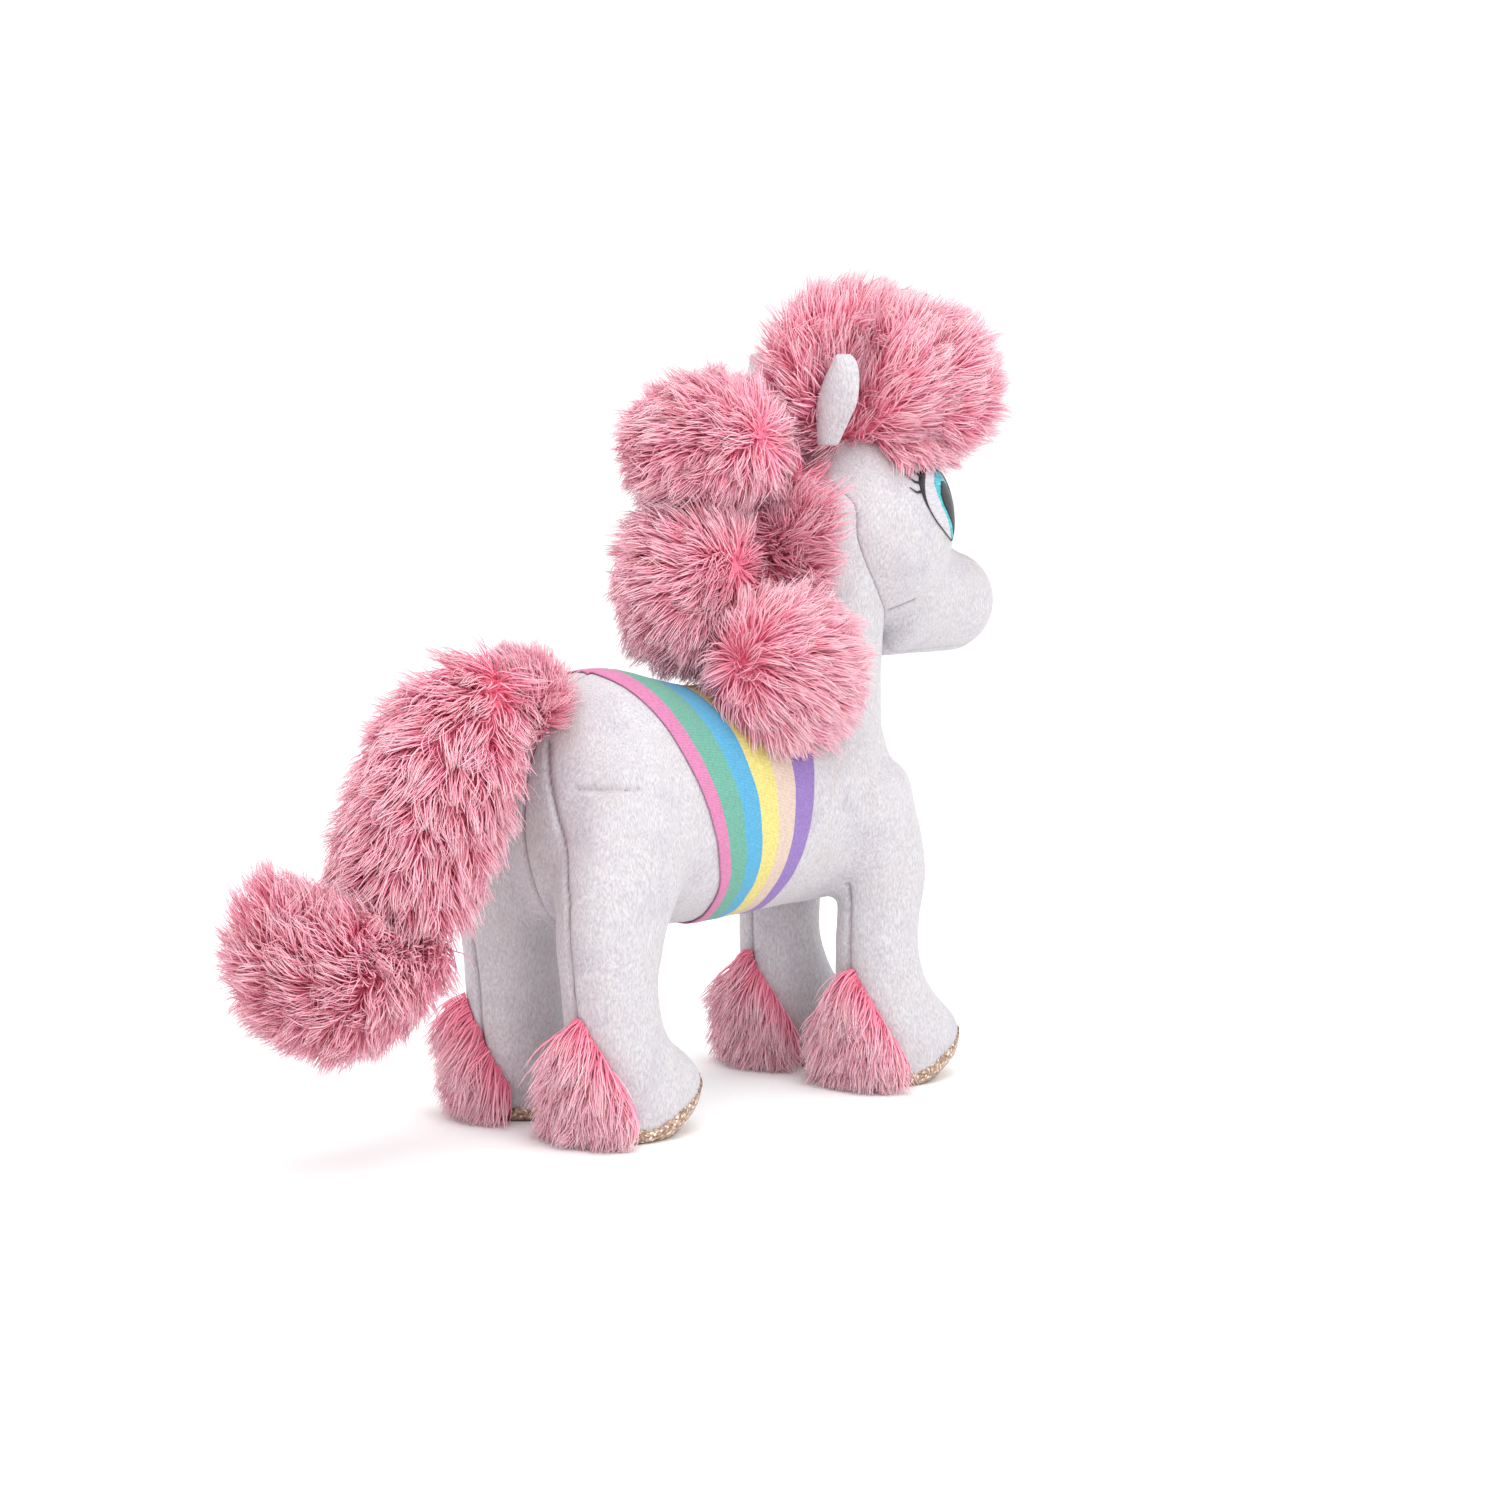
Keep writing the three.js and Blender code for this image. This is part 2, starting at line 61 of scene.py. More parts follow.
def leg_stations(turn, hind):
    """Stations of one leg: thigh, knee, cannon, fetlock, foot."""
    y = HIND_LEG_Y if hind else FORE_LEG_Y
    x = turn * LEG_X
    thigh = (turn * 23, y - 14, 108, 21, 27) if hind else (turn * 21, y + 6, 108, 20, 22)
    return [
        thigh,
        (x, y - 2, 82, 19 if hind else 16.5, 22 if hind else 18),
        (x, y, 54, 17.5 if hind else 15.5, 17.5 if hind else 16),
        (x, y - 4, 30, 17.5, 19),
        (x, y - FOOT_FORWARD, 9, 19, 27),
    ]


def spline(stations, t):
    """A smooth curve through the stations, at t from 0 to 1."""
    stations = np.array(stations, float)
    place = t * (len(stations) - 1)
    i = min(int(place), len(stations) - 2)
    f = place - i
    before = stations[max(i - 1, 0)]
    a, b = stations[i], stations[i + 1]
    after = stations[min(i + 2, len(stations) - 1)]
    return 0.5 * (2 * a + (b - before) * f + (2 * before - 5 * a + 4 * b - after) * f ** 2
                  + (3 * a - before - 3 * b + after) * f ** 3)


bm = bmesh.new()
bmesh.ops.create_uvsphere(bm, u_segments=28, v_segments=16, radius=1)
ball = bpy.data.meshes.new("ball")
bm.to_mesh(ball)
bm.free()


def stuff_ball(bm, place):
    """Adds a ball of filling, stretched and placed by the matrix."""
    before = len(bm.verts)
    bm.from_mesh(ball)
    bm.verts.ensure_lookup_table()
    bmesh.ops.transform(bm, verts=bm.verts[before:], matrix=place)


def stuff_tube(bm, stations, ends, step=4):
    """Rounded discs of filling in a close row through stations (x, y, z, half width, half depth)."""
    length = np.linalg.norm(np.diff(np.array(stations, float)[:, :3], axis=0), axis=1).sum()
    count = int(length / step)
    for k in range(count + 1):
        t = k / count
        x, y, z, wide, deep = spline(stations, t)
        ahead = spline(stations, min(t + 0.02, 1))[:3] - spline(stations, max(t - 0.02, 0))[:3]
        along = Vector(ahead).normalized()
        across = Vector((1, 0, 0))
        across = (across - along * along.dot(across)).normalized()
        turn = Matrix((across, along.cross(across), along)).transposed().to_4x4()
        thick = ends[0] if k == 0 else ends[1] if k == count else min(wide, deep) * 0.55
        place = Matrix.Translation(Vector((x, y + FEET_MIDDLE, z)) * MM)
        size = Matrix.Diagonal((wide * MM, deep * MM, thick * MM, 1))
        stuff_ball(bm, place @ turn @ size)


def new_object(name, data):
    piece = bpy.data.objects.new(name, data)
    bpy.context.scene.collection.objects.link(piece)
    return piece


def made(name, bm, smooth=True):
    """The bmesh as an object, which uses it up."""
    mesh = bpy.data.meshes.new(name)
    bm.to_mesh(mesh)
    bm.free()
    mesh.polygons.foreach_set("use_smooth", [smooth] * len(mesh.polygons))
    return new_object(name, mesh)


def baked(piece):
    """The mesh or curve as one mesh, with its modifiers or its section worked in."""
    graph = bpy.context.evaluated_depsgraph_get()
    mesh = bpy.data.meshes.new_from_object(piece.evaluated_get(graph))
    used = piece.data
    bpy.data.objects.remove(piece)
    (bpy.data.curves if isinstance(used, bpy.types.Curve) else bpy.data.meshes).remove(used)
    return mesh


def felted(bm, voxel, smooth, levels):
    """One closed skin round everything in the bmesh, smoothed and subdivided."""
    form = made("form", bm, smooth=False)
    remesh = form.modifiers.new("remesh", "REMESH")
    remesh.mode = "VOXEL"
    remesh.voxel_size = voxel
    soften = form.modifiers.new("soften", "SMOOTH")
    soften.factor = 0.5
    soften.iterations = smooth
    if levels:
        subdivide = form.modifiers.new("subdivide", "SUBSURF")
        subdivide.levels = subdivide.render_levels = levels
    return baked(form)


def read(mesh, what="co", layer="vertices", width=3):
    values = np.empty(len(getattr(mesh, layer)) * width)
    getattr(mesh, layer).foreach_get(what, values)
    return values.reshape(-1, width)


def write(mesh, places):
    """Moves the mesh's vertices to places in millimetres."""
    mesh.vertices.foreach_set("co", (places * MM).ravel())
    mesh.update()


def surface_of(mesh):
    """The mesh's surface, for finding near points and hits."""
    return BVHTree.FromPolygons([v.co for v in mesh.vertices], [p.vertices[:] for p in mesh.polygons])


def read_normals(mesh):
    values = np.empty(len(mesh.vertices) * 3)
    mesh.vertex_normals.foreach_get("vector", values)
    return values.reshape(-1, 3)


bag = bmesh.new()
stuff_tube(bag, TORSO, (33, 36))
stuff_tube(bag, NECK, (14, 14))
for side, turn in SIDES:
    for hind in (True, False):
        stuff_tube(bag, leg_stations(turn, hind), (14, 12))
body_form = felted(bag, 2.2 * MM, 10, 1)

# Where the seams run, seen from behind: up the legs, then in towards the tail and the throat.
SEAM_TOP = (5, 142)
SEAM_KNEE = (LEG_X, 86)
BELLY_MIDDLE = -30
BELLY_HALF = 50                    # half the length of the belly between the legs
RUMP_SEAM_FROM = 78                # the seam under the belly is hidden in the pile up to this far out
HIP_DART = ((34, 124), (58, 124))   # short tuck in each flank above the hind leg, as (y, z)
GROOVE_DEPTH = 1.4
GROOVE_WIDTH = 1.3
SEAM_SHADE_WIDTH = 0.65                # half the width of the painted shade where the pile parts at a seam
NO_SEAM = 8                        # added to the distance from a seam's line where no seam runs
FAINT = 0.3                        # added for a seam that is pulled less


def from_line(points, a, b):
    """How far 2-D points lie from the stretch a-b."""
    a, b = np.array(a, float), np.array(b, float)
    along = np.clip(((points - a) @ (b - a)) / ((b - a) @ (b - a)), 0, 1)
    return np.linalg.norm(points - a - along[:, None] * (b - a), axis=1)


def pulled_in(distance, depth=GROOVE_DEPTH, width=GROOVE_WIDTH):
    """How deep the thread pulls the plush in at that distance from a seam."""
    return depth * np.exp(-(distance / width) ** 2)


def paint_seam_shade(mesh, distance):
    """Notes on the mesh how near each vertex is to a seam, for the painted shade where the pile parts
    there.
    """
    mark = mesh.attributes.new("seam", "FLOAT", "POINT")
    mark.data.foreach_set("value", np.exp(-(distance / SEAM_SHADE_WIDTH) ** 2))


def uneven(points, size, seed):
    """Soft unevenness from -1 to 1 with bumps of that size, in millimetres."""
    return np.array([noise.noise(Vector(p) / size + Vector((seed, 0, 0))) for p in points])


places = read(body_form) / MM
normals = read_normals(body_form)
behind = np.stack([np.abs(places[:, 0]), places[:, 2]], axis=1)
from_middle = np.abs(places[:, 1] - BELLY_MIDDLE)
between_legs = (from_middle < BELLY_HALF) & (places[:, 2] > 60)
leg_seam = from_line(behind, (LEG_X, -5), SEAM_KNEE) + NO_SEAM * between_legs
rump_seam = from_line(behind, SEAM_KNEE, SEAM_TOP) + NO_SEAM * (from_middle < RUMP_SEAM_FROM)
back_seam = np.abs(places[:, 0]) + NO_SEAM * (np.abs(normals[:, 0]) > 0.5)
flank = np.stack([places[:, 1], places[:, 2]], axis=1)
dart_seam = from_line(flank, *HIP_DART) + NO_SEAM * (np.abs(places[:, 0]) < 20)
seam = np.minimum(np.minimum(leg_seam, rump_seam), np.minimum(back_seam, dart_seam) + FAINT)
lumps = uneven(places, 14, 3) * 0.5 + uneven(places, 6, 9) * 0.15
places += normals * (lumps - pulled_in(seam))[:, None]
places[:, 2] = np.maximum(places[:, 2], SOLE_LEVEL)
write(body_form, places)
paint_seam_shade(body_form, seam)


def in_belly(centre):
    """Whether a point in millimetres belongs to a belly panel, between the legs."""
    x, z = abs(centre[0]), centre[2]
    if z < SEAM_KNEE[1]:
        return x < SEAM_KNEE[0]
    share = (z - SEAM_KNEE[1]) / (SEAM_TOP[1] - SEAM_KNEE[1])
    return share < 1 and x < SEAM_KNEE[0] + share * (SEAM_TOP[0] - SEAM_KNEE[0])


def cut_out(form, name, belongs, offset=0.0):
    """A piece of the form's skin: the faces whose centre belongs, moved outwards by the offset."""
    bm = bmesh.new()
    bm.from_mesh(form)
    others = [f for f in bm.faces if not belongs(f.calc_center_median() / MM)]
    normal = [v.normal.copy() for v in bm.verts]
    bm.verts.index_update()
    layer = bm.verts.layers.float_vector.new("skin_normal")
    for v in bm.verts:
        v[layer] = normal[v.index]
        v.co += normal[v.index] * offset * MM
    bmesh.ops.delete(bm, geom=others, context="FACES")
    piece = made(name, bm)
    mesh = piece.data
    values = np.empty(len(mesh.vertices) * 3)
    mesh.attributes["skin_normal"].data.foreach_get("vector", values)
    if offset == 0:
        mesh.normals_split_custom_set_from_vertices(values.reshape(-1, 3).tolist())
    mesh.attributes.remove(mesh.attributes["skin_normal"])
    return piece


def linear(hex_colour):
    """An sRGB hex colour as linear RGBA."""
    parts = [int(hex_colour[i:i + 2], 16) / 255 for i in (1, 3, 5)]
    return [p / 12.92 if p <= 0.04045 else ((p + 0.055) / 1.055) ** 2.4 for p in parts] + [1]


def node(tree, kind, settings=(), **inputs):
    """Adds a node, with its own settings and with values or links on its inputs."""
    added = tree.nodes.new("ShaderNode" + kind)
    for key, value in dict(settings).items():
        setattr(added, key, value)
    for key, value in inputs.items():
        socket = added.inputs[int(key[1:])] if key[0] == "_" else added.inputs[key.replace("_", " ")]
        if isinstance(value, bpy.types.NodeSocket):
            tree.links.new(value, socket)
        else:
            socket.default_value = value
    return added


def ramp(tree, factor, stops, smooth=False):
    """A colour ramp through (place, hex colour) stops."""
    added = node(tree, "ValToRGB", Fac=factor)
    marks = added.color_ramp
    marks.interpolation = "EASE" if smooth else "LINEAR"
    while len(marks.elements) < len(stops):
        marks.elements.new(0.5)
    for mark, (place, colour) in zip(marks.elements, stops):
        mark.position = place
        mark.color = linear(colour)
    return added.outputs["Color"]


def start_material(name, **shine):
    material = bpy.data.materials.new(name)
    material.use_nodes = True
    tree = material.node_tree
    tree.nodes.clear()
    shader = node(tree, "BsdfPrincipled", **shine)
    out = node(tree, "OutputMaterial", Surface=shader.outputs[0])
    return material, tree, shader, out


def mixed(tree, factor, a, b, blend="MIX"):
    return node(tree, "Mix", {"data_type": "RGBA", "blend_type": blend}, _0=factor, _6=a, _7=b).outputs[2]


def bumped(tree, shader, height, strength, distance):
    """Raises the shading by the height, up to a distance in millimetres."""
    bump = node(tree, "Bump", Height=height, Strength=strength, Distance=distance * MM)
    tree.links.new(bump.outputs[0], shader.inputs["Normal"])


# Polyester minky, brushed 2 mm pile: matt off-white with a soft edge glow, and painted shade where it parts
# at a seam.
# The grain is the pile's 0.7 mm locks, drawn out along the nap, and the clouds are painted light and shade
# where the nap turns.
minky, tree, shader, _ = start_material(
    "minky_plush_brushed", Roughness=0.95, **{"Specular_IOR_Level": 0.15, "Sheen_Weight": 0.25,
                                              "Sheen_Roughness": 0.5})
position = node(tree, "TexCoord").outputs["Object"]
turns = node(tree, "TexNoise", Vector=position, Scale=38, Detail=2)
bent = node(tree, "VectorMath", {"operation": "MULTIPLY_ADD"}, _0=turns.outputs["Color"], _1=(0.012,) * 3,
            _2=position).outputs[0]
nap = node(tree, "Mapping", Vector=bent, Scale=(1, 1, 0.38)).outputs[0]
grain = node(tree, "TexNoise", Vector=nap, Scale=1500, Detail=2, Roughness=0.6).outputs["Fac"]
# painted light and shade: soft paler and darker clouds where the nap turns and catches the light
# differently
nap_shade = node(tree, "TexNoise", Vector=position, Scale=60, Detail=3, Roughness=0.6).outputs["Fac"]
pile_colour = ramp(tree, grain, [(0.3, "#afacb0"), (0.5, "#c0bdc1"), (0.7, "#cfccd0")])
nap_shade_colour = ramp(tree, nap_shade, [(0.3, "#f3f0f5"), (0.5, "#ffffff"), (0.72, "#faf7f4")])
plush_colour = mixed(tree, 1.0, pile_colour, nap_shade_colour, "MULTIPLY")
# painted shade: the plush colour is darkened towards each seam's groove and in the head's crease against
# the neck
seam_shade = node(tree, "Attribute", {"attribute_name": "seam"}).outputs["Fac"]
seam_shade_colour = ramp(tree, seam_shade, [(0.0, "#ffffff"), (0.4, "#f3eff2"), (1.0, "#a9a2aa")])
tree.links.new(mixed(tree, 1.0, plush_colour, seam_shade_colour, "MULTIPLY"), shader.inputs["Base Color"])
bumped(tree, shader, grain, 0.5, 0.4)


def finish_piece(piece, material, body, replaced=()):
    piece.data.materials.clear()
    piece.data.materials.append(material)
    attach(piece, body)
    if replaced:
        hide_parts(*replaced)
    return piece


FEET = [(f"{end}_{side}", turn, y) for side, turn in SIDES
        for end, y in (("hind", HIND_LEG_Y), ("fore", FORE_LEG_Y))]
for side, turn in SIDES:
    flank_piece = cut_out(body_form, f"plush_flank_{side}",
                          lambda c: c[0] * turn >= 0 and not in_belly(c))
    belly_piece = cut_out(body_form, f"plush_belly_{side}", lambda c: c[0] * turn >= 0 and in_belly(c))
    finish_piece(flank_piece, minky, "body", [f"body_panel_{side}"])
    finish_piece(belly_piece, minky, "body", [f"belly_panel_{side}"])
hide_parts("torso_filling", "neck_filling", *[f"leg_filling_{name}" for name, _, _ in FEET])

# ---------------------------------------------------------------- head
# The head is sewn from two cheeks and a strip over forehead, nose and chin, in the same plush.
# It is stuffed hard and sewn onto the neck, which leaves a deep crease behind the cheek.
SKULL = (0, -85 + FEET_MIDDLE, 207)
SKULL_SIZE = (35, 36, 39)
MUZZLE = [(0, -100, 184, 26, 28), (0, -122, 178, 21, 22), (0, -134, 176, 19, 19.5)]
STRIP_HALF = 9
JAW_DART = ((-108, 176), (-118, 180))   # short tuck at the back of the jaw, as (y, z)

bag = bmesh.new()
skull_shape = Matrix.Diagonal((*[size * MM for size in SKULL_SIZE], 1))
stuff_ball(bag, Matrix.Translation(Vector(SKULL) * MM) @ skull_shape)
stuff_tube(bag, MUZZLE, (12, 16))
head_form = felted(bag, 2.0 * MM, 8, 1)
places = read(head_form) / MM
normals = read_normals(head_form)
strip_seam = np.abs(np.abs(places[:, 0]) - STRIP_HALF) + NO_SEAM * (places[:, 2] > 235)
flank = np.stack([places[:, 1], places[:, 2]], axis=1)
jaw_seam = from_line(flank, *JAW_DART) + NO_SEAM * (np.abs(places[:, 0]) < 12)
seam = np.minimum(strip_seam + 0.5, jaw_seam)
places += normals * (uneven(places, 14, 5) * 0.3 - pulled_in(seam, 0.8, 1.2))[:, None]
write(head_form, places)
body_tree = surface_of(body_form)
# The head's plush also gets painted shade in the crease where it meets the neck, besides its own seams.
to_neck = np.array([body_tree.find_nearest(Vector(p) * MM)[3] / MM for p in places])
paint_seam_shade(head_form, np.minimum(seam, to_neck + 0.15))
for side, turn in SIDES:
    cheek = cut_out(head_form, f"plush_cheek_{side}", lambda c: c[0] * turn >= STRIP_HALF)
    finish_piece(cheek, minky, "body", [f"head_panel_{side}"])
strip = cut_out(head_form, "plush_face_strip", lambda c: abs(c[0]) < STRIP_HALF)
finish_piece(strip, minky, "body", ["face_gusset", "head_filling"])

# ---------------------------------------------------------------- hooves
# Each foot ends in a cap and a sole of champagne cloth with glitter bonded to it.
# The cap rises over the toe and runs back as a narrow strip above the sole.
STRIP_HEIGHT = 5
TOE_HEIGHT = 20
TOE_SLOPE = 0.42
CLOTH_PROUD = 0.7

# Glitter cloth: flakes of about 0.8 mm in clear binder, so single facets flash and the rest stays dull.
glitter, tree, shader, _ = start_material(
    "glitter_cloth_bonded", Roughness=0.42, Metallic=0.35, **{"Specular_IOR_Level": 0.5})
position = node(tree, "TexCoord").outputs["Object"]
flakes = node(tree, "TexVoronoi", Vector=position, Scale=1150)
shade = node(tree, "SeparateXYZ", Vector=flakes.outputs["Color"]).outputs
tone = ramp(tree, shade[0], [(0.0, "#7a6357"), (0.45, "#a98b78"), (0.8, "#c9ab94"), (0.93, "#ffe6cf"),
                             (1.0, "#dbe4ea")])
tree.links.new(tone, shader.inputs["Base Color"])
rough = node(tree, "MapRange", Value=shade[1], _1=0.0, _2=1.0, _3=0.25, _4=0.6).outputs[0]
tree.links.new(rough, shader.inputs["Roughness"])
bumped(tree, shader, shade[2], 0.5, 0.4)


def walled(piece, thickness):
    """Gives a cloth piece its thickness in millimetres, inwards from its outer face."""
    wall = piece.modifiers.new("cloth", "SOLIDIFY")
    wall.thickness = thickness * MM
    wall.offset = -1
    return piece


for name, turn, leg_y in FEET:
    toe = leg_y + FEET_MIDDLE - FOOT_FORWARD - 27

    def on_foot(c, turn=turn, toe=toe):
        return c[0] * turn > 0 and toe - 15 < c[1] < toe + 62 and c[2] < 30

    def capped(c, toe=toe):
        return c[2] < max(STRIP_HEIGHT, TOE_HEIGHT - TOE_SLOPE * (c[1] - toe))

    cap = cut_out(body_form, f"hoof_cloth_{name}",
                  lambda c: on_foot(c) and capped(c) and c[2] > SOLE_LEVEL + 0.01, CLOTH_PROUD)
    sole = cut_out(body_form, f"sole_cloth_{name}", lambda c: on_foot(c) and c[2] <= SOLE_LEVEL + 0.01,
                   CLOTH_PROUD)
    for piece, replaced in ((cap, f"hoof_cap_{name}"), (sole, f"sole_{name}")):
        points = read(piece.data)
        points[:, 2] = np.maximum(points[:, 2], 0.0003)
        piece.data.vertices.foreach_set("co", points.ravel())
        finish_piece(piece, glitter, "body", [replaced])
        walled(piece, 0.9)

# ---------------------------------------------------------------- belly band
# A girth of printed stretch satin in six pastel stripes lies round the belly, wide over the back.
# It is sewn to the plush along both edges, which bulges a little beside it.
BAND_MIDDLE = 109.5
BAND_REAR = (30 + FEET_MIDDLE, 0.44)
BAND_FRONT = (-22 + FEET_MIDDLE, -0.15)
BAND_PROUD = 0.9


def band_edges(z):
    rise = z - BAND_MIDDLE
    return BAND_REAR[0] + BAND_REAR[1] * rise, BAND_FRONT[0] + BAND_FRONT[1] * rise


bm = bmesh.new()
bm.from_mesh(body_form)
for (y, lean), outwards in ((BAND_REAR, 1), (BAND_FRONT, -1)):
    bmesh.ops.bisect_plane(bm, geom=bm.verts[:] + bm.edges[:] + bm.faces[:], dist=1e-6,
                           plane_co=(0, y * MM, BAND_MIDDLE * MM), plane_no=(0, outwards, -outwards * lean),
                           clear_outer=True)
low = [v for v in bm.verts if v.co.z < 0.055]
bmesh.ops.delete(bm, geom=low, context="VERTS")
bm.normal_update()
shifts = [(v, v.normal.copy()) for v in bm.verts]
for v, outward in shifts:
    v.co += outward * BAND_PROUD * MM
stripe_map = bm.loops.layers.uv.new("StripeMap")
for face in bm.faces:
    for loop in face.loops:
        x, y, z = loop.vert.co / MM
        rear, front = band_edges(z)
        around = math.atan2(x, z - BAND_MIDDLE) / (2 * math.pi) + 0.5
        if face.calc_center_median().x > 0 and around < 0.02:
            around = 1.0
        loop[stripe_map].uv = (around, (rear - y) / (rear - front))
band = walled(made("satin_belly_band", bm), 0.5)

# Printed stretch satin: flat dye stripes on a fine rib, with a low satin gloss.
satin, tree, shader, _ = start_material("stretch_satin_printed", Roughness=0.62,
                                        **{"Specular_IOR_Level": 0.3, "Sheen_Weight": 0.15})
across = node(tree, "UVMap", {"uv_map": "StripeMap"}).outputs[0]
parts = node(tree, "SeparateXYZ", Vector=across).outputs
STRIPES = [(0.0, "#dd86b4"), (0.115, "#6fb49f"), (0.30, "#58b2dc"), (0.47, "#eddf86"), (0.645, "#e6cdbd"),
           (0.82, "#9a7cc2")]
stripes = node(tree, "ValToRGB", Fac=parts[1])
stripes.color_ramp.interpolation = "CONSTANT"
while len(stripes.color_ramp.elements) < len(STRIPES):
    stripes.color_ramp.elements.new(0.5)
for mark, (place, colour) in zip(stripes.color_ramp.elements, STRIPES):
    mark.position = place
    mark.color = linear(colour)
ribs = node(tree, "TexWave", {"wave_type": "BANDS", "bands_direction": "X"}, Vector=node(
    tree, "Mapping", Vector=across, Scale=(150, 1, 1)).outputs[0], Scale=1.0, Distortion=0.4).outputs["Fac"]
thread = node(tree, "TexNoise", Vector=node(tree, "TexCoord").outputs["Object"], Scale=900,
              Detail=2).outputs["Fac"]
weave = ramp(tree, ribs, [(0.0, "#dcdcdc"), (1.0, "#ffffff")])
slub = ramp(tree, thread, [(0.3, "#e6e6e6"), (0.7, "#ffffff")])
cloth_colour = mixed(tree, 1.0, mixed(tree, 1.0, stripes.outputs[0], weave, "MULTIPLY"), slub, "MULTIPLY")
tree.links.new(cloth_colour, shader.inputs["Base Color"])
bumped(tree, shader, ribs, 0.25, 0.2)
finish_piece(band, satin, "body", ["belly_band"])

# ---------------------------------------------------------------- ears
# Each ear is a cupped leaf of plush, back and lining sewn round the edge and turned, hardly stuffed.
# It is pinched at the root and stands up behind the forelock.
EAR_ROOT = (14.5, -78, 238.5)
EAR_LENGTH = 33
EAR_HALF_WIDTH = 10.5
EAR_CUP = 5.5


def facing(bm, way):
    """Turns the faces over if they look away from the given direction."""
    bm.normal_update()
    if sum((f.normal for f in bm.faces), Vector()).dot(way) < 0:
        bmesh.ops.reverse_faces(bm, faces=bm.faces[:])


def ear_leaf(name, turn, front, inset):
    """One skin of the ear; front is 1 for the lining and -1 for the back."""
    bm = bmesh.new()
    bmesh.ops.create_grid(bm, x_segments=14, y_segments=18, size=0.5)
    for v in bm.verts:
        across, up = v.co.x * 2, v.co.y + 0.5
        round_top = math.sqrt(max(0.0, 1 - max(0.0, (up - 0.45) / 0.55) ** 2))
        root = 0.5 + 0.5 * min(1.0, up / 0.45)
        half = max(EAR_HALF_WIDTH * round_top * root - inset, 0.25)
        crown = 1.5 * (1 - across ** 2) * math.sin(math.pi * min(1.0, up + 0.1))
        cup = EAR_CUP * (1 - across ** 2) * (0.5 + 0.5 * up)
        x = EAR_ROOT[0] + 8.0 * up + across * half
        y = EAR_ROOT[1] - 2.0 * up + cup - EAR_CUP * 0.6 - front * crown - front * 0.5
        z = EAR_ROOT[2] + up * EAR_LENGTH
        v.co = Vector((turn * x, y, z)) * MM
    facing(bm, Vector((0, -front, 0)))
    piece = walled(made(name, bm), 1.1)
    finer = piece.modifiers.new("soft", "SUBSURF")
    finer.levels = finer.render_levels = 1
    return piece


for side, turn in SIDES:
    back = ear_leaf(f"plush_ear_back_{side}", turn, -1, 0)
    lining = ear_leaf(f"plush_ear_lining_{side}", turn, 1, 0.8)
    finish_piece(back, minky, f"ear_{side}", [f"ear_back_{side}"])
    finish_piece(lining, minky, f"ear_{side}", [f"ear_lining_{side}"])

# ---------------------------------------------------------------- embroidered eyes
# The eyes are machine embroidery in satin stitch through the cheek panels: white, teal iris, black pupil,
# and a black lash line with three lashes at its rear corner.
EYE_TURN = math.radians(66)
EYE_RISE = 2                       # height of the eye's zero line above the middle of the skull
head_tree = surface_of(head_form)


def on_cheek(turn, across, up, proud):
    """The point of the face at (across towards the nose, up) from the eye's middle, in millimetres."""
    out = Vector((turn * math.sin(EYE_TURN), -math.cos(EYE_TURN), 0))
    forward = Vector((-turn * math.cos(EYE_TURN), -math.sin(EYE_TURN), 0))
    start = (Vector(SKULL) + forward * across + Vector((0, 0, up + EYE_RISE)) + out * 90) * MM
    hit, normal, _, _ = head_tree.ray_cast(start, -out)
    return hit + normal * proud * MM


def thread_material(name, colour, dark, light):
    """Rayon satin stitch: 0.4 mm threads side by side, so it shines in lines across the thread."""
    material, tree, shader, _ = start_material(name, Roughness=0.38, **{"Specular_IOR_Level": 0.5})
    position = node(tree, "TexCoord").outputs["Object"]
    rows = node(tree, "Mapping", Vector=position, Scale=(300, 300, 2300), Rotation=(0.35, 0, 0)).outputs[0]
    threads = node(tree, "TexNoise", Vector=rows, Scale=1.0, Detail=1).outputs["Fac"]
    tone = ramp(tree, threads, [(0.3, dark), (0.5, colour), (0.7, light)])
    tree.links.new(tone, shader.inputs["Base Color"])
    bumped(tree, shader, threads, 0.5, 0.3)
    return material


white_thread = thread_material("rayon_thread_white", "#c3c0c6", "#b7b4ba", "#cfccd2")
teal_thread = thread_material("rayon_thread_teal", "#41b3c0", "#2f9aa9", "#6ccbd4")
black_thread = thread_material("rayon_thread_black", "#141317", "#0b0a0d", "#25232a")


def finish_stitches(name, bm, turn, material, replaced):
    facing(bm, Vector((turn, 0, 0)))
    finish_piece(walled(made(name, bm), 0.35), material, "body", replaced)


def stitched(name, turn, rows, proud, material, replaced):
    """A stitched patch between two edges: rows of (up, rear edge, front edge)."""
    bm = bmesh.new()
    bmesh.ops.create_grid(bm, x_segments=10, y_segments=len(rows) * 3, size=0.5)
    rows = np.array(rows, float)
    for v in bm.verts:
        t = (v.co.y + 0.5) * (len(rows) - 1)
        up, rear, front = [np.interp(t, range(len(rows)), rows[:, k]) for k in range(3)]
        share = v.co.x + 0.5
        crown = 0.35 * (1 - (2 * share - 1) ** 2) * math.sin(math.pi * (v.co.y + 0.5)) ** 0.5
        v.co = on_cheek(turn, rear + share * (front - rear), up, proud + crown)
    finish_stitches(name, bm, turn, material, replaced)


